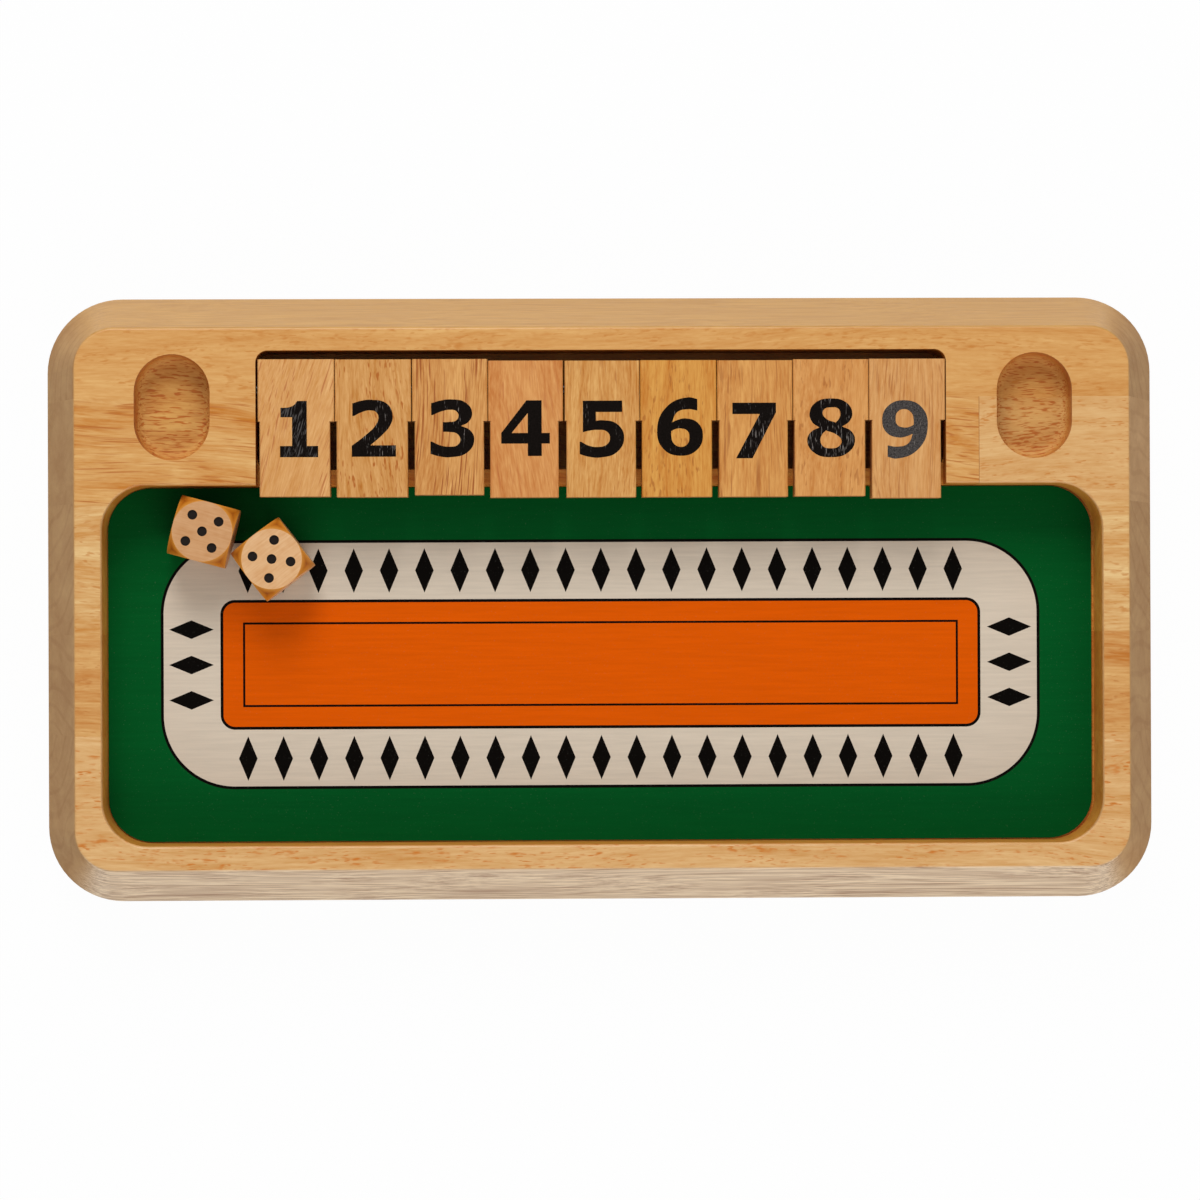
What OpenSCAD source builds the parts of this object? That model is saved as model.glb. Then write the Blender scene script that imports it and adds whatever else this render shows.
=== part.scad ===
// Shut the box game. A board glued up from staves, with four sloping sides, holds a
// round-cornered tray with a printed panel, a deep pocket where nine number tiles
// hinge on a steel rod, two round-ended wells that keep the dice, and the two dice.
// X runs along the board, Y from the player to the rear and Z up. The origin is the
// centre of the underside. The tiles lie open, and each swings back about the rod
// until it leans on the rear edge of its pocket.

/* [Board] */
// Length of the board at the underside
board_w = 300; // [296:0.5:310]
// Depth of the board at the underside, player to rear
board_d = 163.5; // [163:0.5:170]
// Thickness of the glued board
board_h = 28; // [27:0.5:32]
// How far each sloping side leans in from the underside to the top
side_lean = 9.7; // [7:0.1:10.5]
// Corner radius in plan, at the underside
corner_r = 20.4; // [18:0.2:24]
// Rounding of the top's outer edge
edge_ease = 0.9; // [0.4:0.1:1.4]
// Chamfer where the sides meet the underside
foot_ease = 0.6; // [0.3:0.1:1]

/* [Staves] */
// Glue line between the rear stave and the stave with the dice wells
seam_rear_y = 53.3; // [50:0.1:53.5]
// Glue line between the dice well stave and the upper tray stave
seam_well_y = 25.5; // [20:0.1:28]
// Glue line between the two middle tray staves
seam_mid_y = -9.3; // [-15:0.1:-5]
// Glue line between the lower tray stave and the front stave
seam_front_y = -36.2; // [-45:0.1:-30]
// Butt joint in the dice well stave, right of the tile pocket
butt_x = 100.1; // [98:0.1:102]

/* [Tray] */
// Length of the tray between its end walls
tray_w = 265.8; // [262:0.2:267]
// Front wall of the tray
tray_front_y = -65.4; // [-67:0.1:-62]
// Rear wall of the tray
tray_rear_y = 30.2; // [29.8:0.1:30.6]
// Corner radius of the tray
tray_r = 12; // [9:0.5:14]
// Depth of the playing surface below the top of the board
tray_depth = 17; // [14:0.5:17.5]
// Rounding of the tray's top edge
tray_ease = 0.8; // [0.3:0.1:1]

/* [Playing panel] */
// Thickness of the printed panel
panel_t = 1.0; // [0.6:0.1:1.6]
// Gap between the panel and the left and rear tray walls
panel_gap = 0.2; // [0.1:0.05:0.3]
// Gap between the panel and the right tray wall
panel_gap_right = 0.7; // [0.3:0.05:1]
// Gap between the panel and the front tray wall
panel_gap_front = 0.35; // [0.3:0.05:0.6]

/* [Tile pocket] */
// Length of the pocket between its end walls
pocket_w = 183.5; // [183.4:0.1:184]
// How far the middle of the pocket lies off the middle of the board
pocket_x = -0.35; // [-0.4:0.05:-0.3]
// Front wall of the pocket, behind the lip that the tiles rest on
pocket_front_y = 34.5; // [33.5:0.1:36]
// Rear wall of the pocket
pocket_rear_y = 66; // [66:0.1:67]
// Corner radius that the router leaves in the pocket
pocket_r = 3.2; // [2:0.1:4]
// Rest clearance between the lip and the tiles
lip_gap = 0.1; // [0.05:0.05:0.3]

/* [Number tiles] */
// Number of tiles
tile_count = 9; // [9]
// Distance from one tile to the next
tile_pitch = 20.3; // [20.25:0.05:20.3]
// Length of a tile, front to rear
tile_l = 36.5; // [35:0.5:38]
// Thickness of a tile
tile_t = 8; // [7:0.5:9]
// How far the front part of a tile is cut back on its left
tile_cut_left = 0.5; // [0.35:0.05:1]
// How far the front part of a tile is cut back on its right
tile_cut_right = 1.1; // [0.5:0.05:1.5]
// Width of the rear part of a tile, which spaces it from its neighbours
tile_rear_w = 20; // [19.6:0.05:20]
// Length of the wide rear part
tile_rear_l = 16.2; // [14:0.2:20]
// Rear end of the tiles
tile_rear_y = 63.35; // [63:0.05:63.5]
// Easing of the tile edges along the numbered face
tile_ease = 0.3; // [0.2:0.1:0.6]

/* [Hinge rod] */
// Diameter of the steel rod
rod_d = 3; // [2.5:0.1:3.5]
// Distance of the rod from the rear end of the tiles
rod_inset = 7.6; // [7:0.1:7.6]
// Radial play of the tiles on the rod
rod_play = 0.05; // [0.03:0.01:0.1]
// How far the rod sits in the left end wall
rod_grip_left = 4; // [3:0.5:5]
// How far the rod sits in the right end wall
rod_grip_right = 5; // [4:0.5:6]
// Depth of the right-hand blind hole, deep enough to slip the rod in past the left wall
rod_hole_right = 9.6; // [9.5:0.1:10]

/* [Dice wells] */
// Width of a dice well
well_w = 20.1; // [18:0.1:21]
// Length of a dice well, front to rear
well_l = 28.2; // [26:0.2:29]
// Depth of a dice well
well_depth = 8; // [6:0.5:10]
// Rounding at the foot of the well's wall
well_foot_r = 3; // [1:0.5:4]
// Distance of each dice well from the middle of the board
well_x = 114.6; // [114:0.1:115]
// How far both wells lie off to the right
well_shift = 0.35; // [0:0.05:0.4]
// Middle of the dice wells, front to rear
well_y = 51; // [49:0.1:52]

/* [Dice] */
// Edge length of a die
die_a = 16; // [14:0.5:16]
// Radius of the round pale face that the corner rounding leaves
die_face_r = 8.1; // [8.05:0.05:8.4]
// Radius of a drilled pip
pip_r = 1.3; // [1:0.05:1.5]
// Depth of a drilled pip
pip_depth = 0.5; // [0.3:0.1:0.8]
// Distance of the outer pips from the middle lines of a face
pip_step = 3.6; // [3:0.05:3.8]
// Rest clearance between a die and the panel
die_gap = 0.1; // [0.05:0.05:0.3]
// Left die: place along the board
die_left_x = -106.4; // [-107:0.1:-105]
// Left die: place front to rear
die_left_y = 18.1; // [15:0.1:18.5]
// Left die: turn about the vertical
die_left_turn = -15.1; // [-20:0.1:-10]
// Right die: place along the board
die_right_x = -88; // [-88:0.1:-80]
// Right die: place front to rear
die_right_y = 10.7; // [5:0.1:11]
// Right die: turn about the vertical
die_right_turn = 37.1; // [30:0.1:45]

/* [Hidden] */
$fn = 96;
// The tiles are sawn by hand, so each differs a little from the plan. Additions in mm to its
// [left side, right side, front part's left, front part's right, rear end, front end].
HAND_CUTS = [
    [-0.3, -0.07, -0.32, -0.1, 0.27, 0.37], [-0.17, 0.05, -0.2, 0.25, 0.19, 0.2],
    [0.05, 0, 0.2, 0.15, 0.23, 0.72], [-0.1, -0.26, -0.1, -0.35, -0.21, 0],
    [-0.06, -0.21, -0.12, -0.1, -0.27, 0], [-0.31, -0.06, -0.36, -0.17, -0.2, 0],
    [-0.12, -0.14, -0.12, -0.3, -0.28, 0], [-0.24, -0.17, -0.34, 0.02, -0.06, 0.1],
    [-0.27, -0.05, -0.05, -0.12, 0.03, -0.45]
];
reach = 200;                              // further than any edge of the board
above = 5;                                // how far a cutter stands out of the top
panel_top_z = board_h - tray_depth;
floor_z = panel_top_z - panel_t;          // bottom of the tray and of the pocket
tray_mid_y = (tray_front_y + tray_rear_y) / 2;
tray_d = tray_rear_y - tray_front_y;
lip_z = board_h - tile_t - lip_gap;
rod_y = tile_rear_y - rod_inset;
rod_z = board_h - tile_t / 2;
rod_l = pocket_w + rod_grip_left + rod_grip_right;
rod_fit = 0.02;                           // radial play of the rod in the end walls
lean_angle = atan(side_lean / board_h);   // of the sides, from the vertical

// A block with round corners in plan. Its children draw the outline of the wall in
// section, from the axis of a corner (x = 0) outwards: the corners revolve that
// outline, and the straight runs carry it along.
module round_cornered(w, d, r, h) {
    for (sx = [0, 1], sy = [0, 1])
        mirror([sx, 0, 0]) mirror([0, sy, 0])
            translate([w / 2 - r, d / 2 - r, 0]) rotate_extrude(angle = 90) children();
    rotate([90, 0, 90]) linear_extrude(w - 2 * r, center = true) both_walls(d - 2 * r, h) children();
    rotate([90, 0, 180]) linear_extrude(d - 2 * r, center = true) both_walls(w - 2 * r, h) children();
}

// The section right across a round-cornered block: a wall outline on each side of a core.
module both_walls(core, h) {
    translate([-core / 2, 0]) square([core, h]);
    for (s = [0, 1]) mirror([s, 0]) translate([core / 2, 0]) children();
}

// Wall outline of the board: chamfered foot, leaning side and rounded top edge.
module board_wall() {
    top_x = corner_r - side_lean;
    run = edge_ease / tan((90 + lean_angle) / 2);      // from the sharp corner to the tangent points
    side_l = norm([side_lean, board_h]);
    polygon([
        [0, 0], [corner_r - foot_ease, 0],
        [corner_r - foot_ease * tan(lean_angle), foot_ease],
        [top_x + run * side_lean / side_l, board_h - run * board_h / side_l],
        [top_x - run, board_h - edge_ease], [top_x - run, board_h], [0, board_h]
    ]);
    translate([top_x - run, board_h - edge_ease]) circle(edge_ease);
}

// Wall outline of the space cut for the tray: upright, and flared by the rounded edge.
module tray_wall() {
    h = board_h - floor_z;
    square([tray_r, h + above]);
    difference() {
        translate([tray_r - 0.1, h - tray_ease]) square([tray_ease + 0.1, above]);
        translate([tray_r + tray_ease, h - tray_ease]) circle(tray_ease);
    }
}

module tray_space() {
    translate([0, tray_mid_y, floor_z])
        round_cornered(tray_w, tray_d, tray_r, board_h - floor_z + above) tray_wall();
}

// Outline in plan of a rectangle with round corners.
module round_rect(w, d, r) {
    square([w - 2 * r, d], center = true);
    square([w, d - 2 * r], center = true);
    for (sx = [-1, 1], sy = [-1, 1])
        translate([sx * (w / 2 - r), sy * (d / 2 - r)]) circle(r);
}

// The pocket that the tiles swing in, and the lower lip between it and the tray.
module pocket_space() {
    d = pocket_rear_y - pocket_front_y;
    translate([pocket_x, pocket_front_y + d / 2, floor_z])
        linear_extrude(board_h) round_rect(pocket_w, d, pocket_r);
    translate([pocket_x - pocket_w / 2, tray_rear_y - 2, lip_z])
        cube([pocket_w, pocket_front_y - tray_rear_y + pocket_r + 2, board_h]);
}

// Half outline of a dice well in section, with its rounded foot.
module well_wall() {
    r = well_w / 2;
    square([r - well_foot_r, well_depth + above]);
    translate([0, well_foot_r]) square([r, well_depth - well_foot_r + above]);
    translate([r - well_foot_r, well_foot_r]) circle(well_foot_r);
}

// A dice well: two revolved half-round ends and a straight middle.
module well_space() {
    run = well_l - well_w;
    translate([0, 0, board_h - well_depth]) {
        for (s = [0, 1]) mirror([0, s, 0])
            translate([0, run / 2, 0]) rotate_extrude(angle = 180) well_wall();
        rotate([90, 0, 0]) linear_extrude(run, center = true) {
            well_wall();
            mirror([1, 0]) well_wall();
        }
    }
}

// Blind holes in the two end walls of the pocket. The right one is the deeper.
module rod_holes() {
    translate([pocket_x - pocket_w / 2 - rod_grip_left, rod_y, rod_z]) rotate([0, 90, 0])
        cylinder(h = pocket_w + rod_grip_left + rod_hole_right, r = rod_d / 2 + rod_fit);
}

// The whole board, as it is once the staves are glued and routed.
module board() {
    difference() {
        round_cornered(board_w, board_d, corner_r, board_h) board_wall();
        tray_space();
        pocket_space();
        for (s = [-1, 1]) translate([s * well_x + well_shift, well_y, 0]) well_space();
        rod_holes();
    }
}

// One stave of the board: all that lies between two glue lines and two ends.
module stave(y0, y1, x0 = -reach, x1 = reach) {
    intersection() {
        board();
        translate([x0, y0, -above]) cube([x1 - x0, y1 - y0, board_h + 2 * above]);
    }
}

module rear_stave() { color("#d29f61") stave(seam_rear_y, reach); }
module well_stave() { color("#d6a468") stave(seam_well_y, seam_rear_y, -reach, butt_x); }
module well_stave_end() { color("#d8a86d") stave(seam_well_y, seam_rear_y, butt_x, reach); }
module upper_tray_stave() { color("#d6a86d") stave(seam_mid_y, seam_well_y); }
module lower_tray_stave() { color("#cc985b") stave(seam_front_y, seam_mid_y); }
module front_stave() { color("#d4a46c") stave(-reach, seam_front_y); }

// The printed sheet on the floor of the tray.
module playing_panel() {
    off_x = (panel_gap - panel_gap_right) / 2;
    off_y = (panel_gap_front - panel_gap) / 2;
    color("#cdbba8") translate([off_x, tray_mid_y + off_y, floor_z])
        linear_extrude(panel_t)
            round_rect(tray_w - panel_gap - panel_gap_right, tray_d - panel_gap - panel_gap_front,
                       tray_r - panel_gap);
}

module hinge_rod() {
    color("#b9bcc0") translate([pocket_x - pocket_w / 2 - rod_grip_left, rod_y, rod_z])
        rotate([0, 90, 0]) cylinder(h = rod_l, r = rod_d / 2);
}

// Section of a tile bar between its two sides, with its upper edges eased.
module tile_section(x0, x1) {
    polygon([[x0, 0], [x1, 0], [x1, tile_t - tile_ease], [x1 - tile_ease, tile_t],
             [x0 + tile_ease, tile_t], [x0, tile_t - tile_ease]]);
}

// A length of tile bar from y0 to y1.
module tile_bar(x0, x1, y0, y1) {
    translate([0, y1, 0]) rotate([90, 0, 0]) linear_extrude(y1 - y0) tile_section(x0, x1);
}

// One number tile, counted from the left: a narrow front part, a wide rear part that
// keeps its neighbours off, and the bore for the rod.
module tile(number) {
    cut = HAND_CUTS[number - 1];
    side = tile_rear_w / 2;
    step_y = tile_rear_y - tile_rear_l;
    color(number % 2 == 0 ? "#d09455" : "#cf9656")
    translate([(number - (tile_count + 1) / 2) * tile_pitch, 0, board_h - tile_t]) difference() {
        union() {
            tile_bar(tile_cut_left - side + cut[2], side - tile_cut_right + cut[3],
                     tile_rear_y - tile_l + cut[5], step_y);
            tile_bar(cut[0] - side, side + cut[1], step_y, tile_rear_y + cut[4]);
        }
        translate([0, rod_y, tile_t / 2]) rotate([0, 90, 0])
            cylinder(h = tile_rear_w + 2, r = rod_d / 2 + rod_play, center = true);
    }
}

// Places of the pips on a face that shows n, in steps from its middle.
function pips(n) = concat(
    n % 2 == 1 ? [[0, 0]] : [],
    n >= 2 ? [[-1, 1], [1, -1]] : [],
    n >= 4 ? [[1, 1], [-1, -1]] : [],
    n == 6 ? [[-1, 0], [1, 0]] : []
);

// The pips of one face, as drilled from above that face.
module drilled_face(n) {
    for (p = pips(n))
        translate([p.x * pip_step, p.y * pip_step, die_a / 2 - pip_depth])
            cylinder(h = 1, r = pip_r, $fn = 32);
}

// A die that shows 5, with its corners rounded by one sphere. Opposite faces add up to 7.
module die(x, y, turn) {
    color("#dcae7b") translate([x, y, panel_top_z + die_gap + die_a / 2]) rotate([0, 0, turn])
    difference() {
        intersection() {
            cube(die_a, center = true);
            sphere(norm([die_a / 2, die_face_r]));
        }
        drilled_face(5);
        rotate([180, 0, 0]) drilled_face(2);
        rotate([90, 0, 0]) drilled_face(3);
        rotate([-90, 0, 0]) drilled_face(4);
        rotate([0, 90, 0]) drilled_face(1);
        rotate([0, -90, 0]) drilled_face(6);
    }
}

rear_stave();
well_stave();
well_stave_end();
upper_tray_stave();
lower_tray_stave();
front_stave();
playing_panel();
hinge_rod();
tile(1);  // tile_1
tile(2);  // tile_2
tile(3);  // tile_3
tile(4);  // tile_4
tile(5);  // tile_5
tile(6);  // tile_6
tile(7);  // tile_7
tile(8);  // tile_8
tile(9);  // tile_9
die(die_left_x, die_left_y, die_left_turn);  // die_left
die(die_right_x, die_right_y, die_right_turn);  // die_right
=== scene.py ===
# %% [markdown]
# # Shut the box: finishing a wooden game board
# The solids come from the CAD model: a board glued up from six staves, a printed panel, a steel rod,
# nine number tiles and two dice. This script gives each of them its finish, prints the numbers on the
# tiles, and sets up the light and the camera. Everything is in metres, in the frame of the CAD model.

# %% Load the CAD model
import math
import bmesh
import bpy
from mathutils import Matrix, Vector


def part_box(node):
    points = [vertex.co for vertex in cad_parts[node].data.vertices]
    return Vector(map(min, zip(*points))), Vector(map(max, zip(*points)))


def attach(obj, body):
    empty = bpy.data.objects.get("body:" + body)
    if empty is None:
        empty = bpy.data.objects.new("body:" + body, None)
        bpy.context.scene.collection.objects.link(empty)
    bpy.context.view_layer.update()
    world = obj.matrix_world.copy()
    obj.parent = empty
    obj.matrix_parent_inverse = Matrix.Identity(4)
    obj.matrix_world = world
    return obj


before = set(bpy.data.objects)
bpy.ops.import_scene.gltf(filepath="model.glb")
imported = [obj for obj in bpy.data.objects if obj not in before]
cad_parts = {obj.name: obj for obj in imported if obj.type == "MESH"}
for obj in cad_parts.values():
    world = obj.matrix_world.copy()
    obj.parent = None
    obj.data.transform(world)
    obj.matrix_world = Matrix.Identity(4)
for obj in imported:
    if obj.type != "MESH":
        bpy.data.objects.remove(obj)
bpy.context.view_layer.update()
print("staves, tiles and dice:", ", ".join(sorted(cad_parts)))

# %% [markdown]
# Cut lists and printed sizes are in millimetres, so one name turns them to metres. Colours are read off
# colour charts as sRGB hex values, while the renderer wants linear light, so one function converts them.

# %% Millimetres and colours
MM = 0.001
TO_MM = (1000, 1000, 1000)                     # a scale that turns a place in metres to millimetres


def srgb(code):
    """A hex colour such as "#d0955a" as linear light, with an alpha of 1."""
    parts = [int(code[i:i + 2], 16) / 255 for i in (1, 3, 5)]
    return tuple(c / 12.92 if c < 0.04045 else ((c + 0.055) / 1.055) ** 2.4 for c in parts) + (1.0,)


print("a pale wood in linear light:", [round(c, 3) for c in srgb("#e0b885")])

# %% [markdown]
# A finish is a small network of nodes. One function adds a node, sets it up, wires its inputs and gives
# its output: a value is set on a socket, and another node's output is linked to it. The order of work
# then reads from top to bottom, as the finish is built up on the real object.

# %% A helper for nodes
def add(tree, kind, inputs=None, out=0, stops=(), **settings):
    """Adds a node and gives its output out, or all its outputs if out is None.

    The inputs are {socket name or number: value or another node's output}. The stops are the
    positions and hex colours of a colour ramp.
    """
    made = tree.nodes.new("ShaderNode" + kind)
    for name, value in settings.items():
        setattr(made, name, value)
    for socket, value in (inputs or {}).items():
        if isinstance(value, bpy.types.NodeSocket):
            tree.links.new(value, made.inputs[socket])
        else:
            made.inputs[socket].default_value = value
    if stops:
        marks = made.color_ramp.elements
        while len(marks) < len(stops):
            marks.new(0.5)
        for mark, (place, code) in zip(marks, stops):
            mark.position = place
            mark.color = srgb(code)
    return made.outputs if out is None else made.outputs[out]


print("node helper ready")

# %% [markdown]
# Every finish starts as Blender's one general surface shader, with a few constants, such as the index of
# refraction, set on it. The patterns are wired into it last. A CAD piece takes one finish for its whole
# surface.

# %% Start, wire and give a finish
RELIEF = 0.05 * MM                             # depth of the pores and fibres in every finish


def new_finish(name, constants=None):
    """A material, its node tree and its surface shader, with constants for the shader's sockets."""
    finish = bpy.data.materials.new(name)
    finish.use_nodes = True
    shader = finish.node_tree.nodes["Principled BSDF"]
    for socket, value in (constants or {}).items():
        shader.inputs[socket].default_value = value
    return finish, finish.node_tree, shader


def wire(tree, node, patterns):
    """Wires patterns, as {socket: output}, into a node that is there already."""
    for socket, output in patterns.items():
        tree.links.new(output, node.inputs[socket])


def give(node, finish):
    """Puts one finish on a CAD node."""
    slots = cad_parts[node].data.materials
    slots.clear()
    slots.append(finish)


print("relief in mm:", RELIEF / MM)

# %% [markdown]
# ## The board
# The board is rubberwood: a pale, golden hardwood whose vessels show on the long faces as soft orange
# dashes a few millimetres long, and on the ends as dots. It could be painted with a picture of wood, but
# then the grain would not run round the edges. So the wood is made as a solid: a pattern in three
# dimensions, stretched along the grain, from which each face is cut as a saw would cut it. Growth rings
# are cylinders about the heart of the log, so the ends of a stave show arcs and its top shows long
# waves. Each stave comes from another log, so each has its own heart, colours and place in the pattern.

# %% Wood as a solid
def along_grain(tree, turn, shift):
    """The texture coordinates, and millimetres in the wood's own axes, with the grain along X.

    The grain is turned by turn degrees, and shift moves the piece to another place in the wood.
    """
    place = add(tree, "TexCoord", out=None)
    moved = add(tree, "Mapping", {"Vector": place["Object"], "Location": shift,
                "Rotation": (0, 0, math.radians(turn)), "Scale": TO_MM})
    return place, moved


def grain_noise(tree, mm, stretch, scale, detail=2.0, rough=0.5):
    """Soft random values about 0.5; a stretch below 1 draws them out along that axis."""
    drawn = add(tree, "VectorMath", {0: mm, 1: stretch}, operation="MULTIPLY")
    return add(tree, "TexNoise", {"Vector": drawn, "Scale": scale, "Detail": detail, "Roughness": rough})


print("wood's axes ready")

# %% [markdown]
# A vessel is a thin tube that wanders in and out of the cut face, so it shows as a dash with soft ends,
# long where the saw ran along it and short where it crossed it. The highest parts of a noise make such
# dashes, if the noise is stretched along the grain. The dashes crowd together in some years' growth, so
# a slower noise decides where they show, and between them the wood is clear.

# %% Vessels
PEAKS = 0.72                                   # only the very highest parts of the noise pass this


def vessels(tree, grain, length, width, share, soft=0.12):
    """How dark the vessels are, 0 to 1: a dash's length and width in mm, and how readily one shows."""
    high = grain_noise(tree, grain, (0.8 / length, 0.8 / width, 0.8 / width), 1.0, 1.0)
    start = PEAKS - share
    return add(tree, "MapRange", {"Value": high, "From Min": start, "From Max": start + soft},
               interpolation_type="SMOOTHSTEP")


SHORT_VESSEL = (2.2, 0.45, 0.13)
print("a short vessel's dash is", SHORT_VESSEL[0], "mm long and", SHORT_VESSEL[1], "mm wide")

# %% [markdown]
# Three patterns are laid over one another: the rings of the log as slow waves, streaks some centimetres
# long, and fibres under a millimetre wide. The grain of a real log sways, so a slow noise first moves
# the place sideways by some millimetres, and all the patterns sway together.

# %% Figure and colour of the wood
SWAY = 14.0                                    # how far the grain wanders to a side, in mm
BLOT = (2.6, 0.9, 0.19, 0.28)                  # length, width, share and softness of a blurred vessel
WAVE = 0.314                                   # period of Blender's wave pattern at scale 1


def wood_colour(tree, mm, light, dark, dash, heart, ring, waves, lines, fine, blots, dashes, vessel):
    """The colour on the long faces, the pores, the fibres, the rings and the swaying place."""
    slow = add(tree, "VectorMath", {0: mm, 1: (0.3, 1, 1)}, operation="MULTIPLY")
    drift = add(tree, "TexNoise", {"Vector": slow, "Scale": 0.035, "Detail": 1.0}, out="Color")
    sway = add(tree, "VectorMath", {0: drift, 1: (0, SWAY, SWAY), 2: mm}, operation="MULTIPLY_ADD")
    log = add(tree, "VectorMath", {0: sway, 1: (0, heart[0], heart[1])}, operation="SUBTRACT")
    log = add(tree, "VectorMath", {0: log, 1: (0.04, 1, 1)}, operation="MULTIPLY")
    rings = add(tree, "TexWave", {"Vector": log, "Scale": WAVE / ring, "Distortion": 3.0, "Detail": 2.0,
                "Detail Scale": 0.5}, "Fac", wave_type="RINGS", rings_direction="X", wave_profile="SIN")
    streak = grain_noise(tree, sway, (0.075, 1, 1), 0.16, 4.0, 0.95)
    fibre = grain_noise(tree, sway, (0.085, 1, 1), 1.9, 2.0, 0.9)
    figure = 0.5
    for pattern, weight in ((rings, waves), (streak, 3.0 * lines), (fibre, 0.8 * fine)):
        about_zero = add(tree, "Math", {0: pattern, 1: 0.5}, operation="SUBTRACT")
        figure = add(tree, "Math", {0: about_zero, 1: weight, 2: figure}, operation="MULTIPLY_ADD")
    colour = add(tree, "ValToRGB", {"Fac": figure}, stops=[(0.0, dark), (1.0, light)])
    crowd = grain_noise(tree, sway, (0.16, 1, 1), 0.30)
    marks = []
    for shape, start, strength in ((BLOT, 0.42, blots), (vessel, 0.34, dashes)):
        here = add(tree, "MapRange", {"Value": crowd, "From Min": start, "From Max": 0.58,
                   "To Max": strength}, interpolation_type="SMOOTHSTEP")
        marks.append(add(tree, "Math", {0: vessels(tree, sway, *shape), 1: here}, operation="MULTIPLY"))
    blot, pore = marks
    darkest = add(tree, "Math", {0: blot, 1: pore}, operation="MAXIMUM")
    colour = add(tree, "Mix", {0: darkest, 6: colour, 7: srgb(dash)}, 2, data_type="RGBA")
    return colour, pore, fibre, rings, sway


print("the grain sways by", SWAY, "mm at most")

# %% [markdown]
# The long slopes are sawn flat to the grain, so they show streaks of their own. The front slope is
# also drawn paler, partly painted sheen: the white surroundings mirrored in its lacquer at a glancing
# angle. Where the grain meets a face end-on, the lacquer sinks in, so the wood is greyer and dull there
# and shows the rings as arcs. The shader learns both from the face's normal in the piece's own frame,
# so they stay right when a tile turns.

# %% Slopes and ends
def tint_slope_and_sheen(tree, place, sway, colour, way, pale, brown, low, high):
    """Pale and brown streaks on the long slope that faces the given way; on the front the pale is painted
    sheen.
    """
    # the slope is picked by the way it faces; on the front slope the pale tint is partly painted sheen
    facing = add(tree, "VectorMath", {0: place["Normal"], 1: way}, "Value", operation="DOT_PRODUCT")
    on_slope_tint_and_sheen = add(tree, "MapRange", {"Value": facing, "From Min": 0.2, "From Max": 0.65},
                   interpolation_type="SMOOTHSTEP")
    streak = grain_noise(tree, sway, (0.016, 1, 0.7), 1.3, 3.0, 0.8)
    streak = add(tree, "ValToRGB", {"Fac": streak}, stops=[(low, brown), (high, pale)])
    return add(tree, "Mix", {0: on_slope_tint_and_sheen, 6: colour, 7: streak}, 2, data_type="RGBA")


def tint_ends(tree, place, turn, rings, sway, inside, colour, end):
    """Mottles and arcs on the faces across the grain, and how much of an end each face is."""
    way = math.radians(-turn)
    across = add(tree, "VectorMath", {0: place["Normal"], 1: (math.cos(way), math.sin(way), 0)},
                 "Value", operation="DOT_PRODUCT")
    across = add(tree, "Math", {0: across}, operation="ABSOLUTE")
    ends = add(tree, "MapRange", {"Value": across, "From Min": 0.3, "From Max": 0.75},
               interpolation_type="SMOOTHSTEP")
    outside = add(tree, "Math", {0: 1.0, 1: inside}, operation="SUBTRACT")
    ends = add(tree, "Math", {0: ends, 1: outside}, operation="MULTIPLY")
    arcs = add(tree, "MapRange", {"Value": rings, "From Min": 0.80, "From Max": 1.0, "To Max": -0.12},
               interpolation_type="SMOOTHSTEP")
    mottle = grain_noise(tree, sway, (1, 1, 0.5), 0.12, 4.0, 0.7)
    mottle = add(tree, "Math", {0: arcs, 1: mottle}, operation="ADD")
    mottle = add(tree, "ValToRGB", {"Fac": mottle}, stops=[(0.30, end[1]), (0.70, end[0])])
    return add(tree, "Mix", {0: ends, 6: colour, 7: mottle}, 2, data_type="RGBA"), ends


print("slopes and ends ready")

# %% [markdown]
# The tray, the tile pocket and the dice wells were routed out after the board was glued, so no sander
# reached into them. The walls of the tray and the pocket are drawn darker and redder, partly from the
# extra lacquer they took and partly as painted shade, the dim reddish light deep in the recesses. The
# walls of the wells are drawn darker than their floors, which is painted shade, and the wells are rough
# and dull, and the torn fibres show as strong dashes. The shader tells a routed face by its place: it
# lies between the top of the board and the underside, within the reach of the router.

# %% Routed recesses
WELLS_MIDDLE = (0.35, 51.0, 0.0)               # the point midway between the wells
WELL_AWAY = 114.6                              # from there to the middle of a well
WELL_REACH = (11.0, 15.2)                      # half the width and length of a well, with a margin
ROUTED_REACH = (134.0, 68.0)                   # half the width and length that holds every recess
LOWEST, WELL_LOWEST = 5.0, 19.5                # heights that lie below every recess and every well
# the painted shade on the routed walls fades out with the stain between these heights
EDGE, TOP = 27.1, 27.7                         # the stain fades out between these heights


def where(tree, share, tests):
    """The share where every test, as (comparison, value, limit), holds, and 0 elsewhere."""
    for comparison, value, limit in tests:
        holds = add(tree, "Math", {0: value, 1: limit}, operation=comparison)
        share = add(tree, "Math", {0: share, 1: holds}, operation="MULTIPLY")
    return share


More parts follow.
